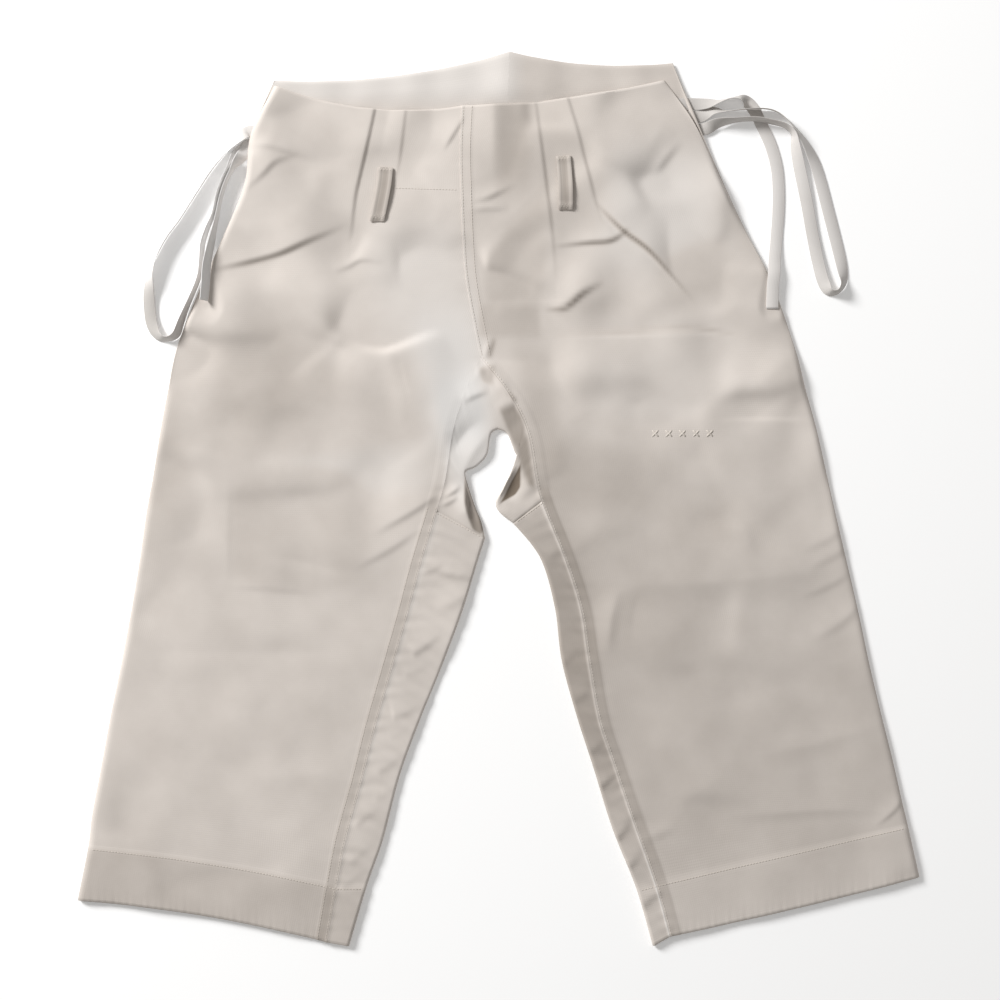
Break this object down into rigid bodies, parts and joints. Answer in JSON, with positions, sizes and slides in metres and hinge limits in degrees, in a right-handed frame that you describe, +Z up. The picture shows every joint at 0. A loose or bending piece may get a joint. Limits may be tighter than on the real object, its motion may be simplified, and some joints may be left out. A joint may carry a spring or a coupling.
{
  "type": "karate gi trousers",
  "caption": "Karate gi trousers of heavy off-white canvas, laid flat front up, with a pleated waist, belt loops, tie tapes and a crotch gusset.",
  "frame": {"origin": "on the surface that the trousers lie on, under the middle of their length and width", "axes": "+Y from the hems to the waist, +Z up from the surface through the back to the front, +X to the wearer's left"},
  "size_m": [0.8674, 0.9212, 0.0173],
  "materials": {
    "canvas": "heavy off-white cotton canvas, plain weave, matt",
    "tape": "narrow white cotton twill tape, matt"
  },
  "bodies": {
    "root": {"front_right_panel": "canvas", "front_left_panel": "canvas", "back_right_panel": "canvas", "back_left_panel": "canvas", "crotch_gusset": "canvas", "belt_loop_right": "canvas", "belt_loop_left": "canvas", "tie_loop_right": "tape", "tie_end_right": "tape", "tie_loop_left": "tape", "tie_end_left": "tape"}
  },
  "joints": []
}
